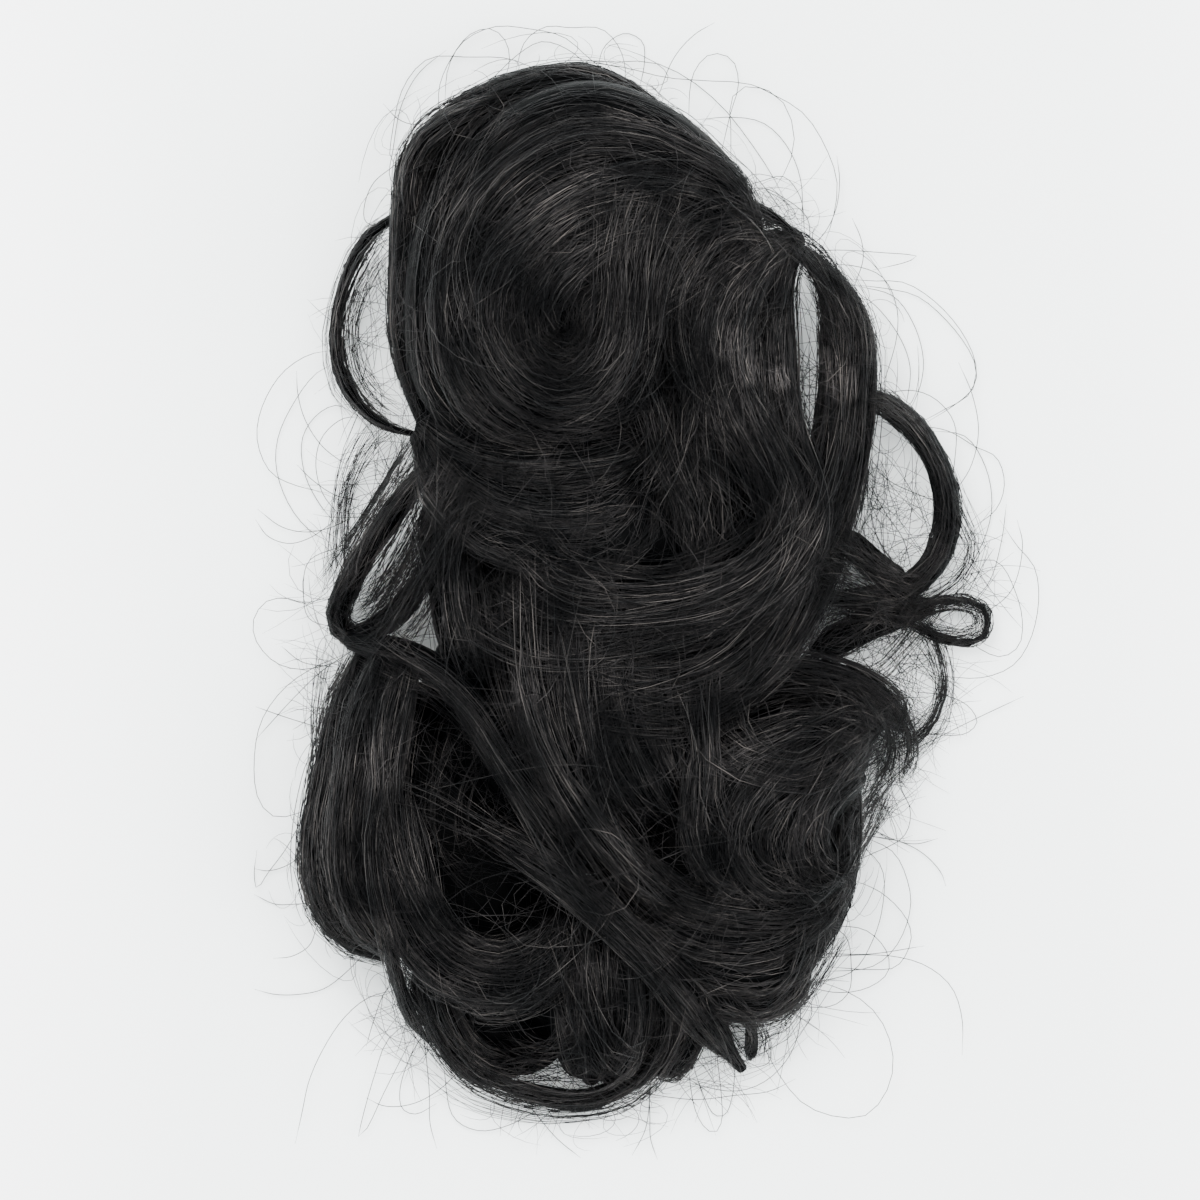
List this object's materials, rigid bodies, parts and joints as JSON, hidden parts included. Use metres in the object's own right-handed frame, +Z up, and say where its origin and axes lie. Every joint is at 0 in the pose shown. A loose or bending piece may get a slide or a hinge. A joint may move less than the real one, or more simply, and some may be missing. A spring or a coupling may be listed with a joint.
{
  "type": "claw clip ponytail",
  "caption": "Wavy synthetic ponytail hairpiece on a hidden claw clip, lying flat with a rounded crown, loose curls and side loops.",
  "frame": {"origin": "middle of the footprint, on the surface that the hairpiece lies on", "axes": "+Y from the tips of the hair to the crown, +Z up from the surface, +X to the right in the picture"},
  "size_m": [0.1978, 0.2982, 0.0706],
  "materials": {
    "hair": "glossy black synthetic hair",
    "clip_plastic": "plain black plastic"
  },
  "bodies": {
    "root": {"claw_clip": "clip_plastic", "crown_hair": "hair", "tail_hair": "hair", "front_lock": "hair", "fall_lock": "hair", "top_strand": "hair", "left_loop": "hair", "left_fold": "hair", "right_loop": "hair", "eyelet_curl": "hair", "hook_curl": "hair", "upper_diagonal": "hair", "centre_diagonal": "hair", "bowl_curl": "hair", "tip_lock": "hair", "left_tip": "hair", "bottom_arc": "hair"}
  },
  "joints": []
}
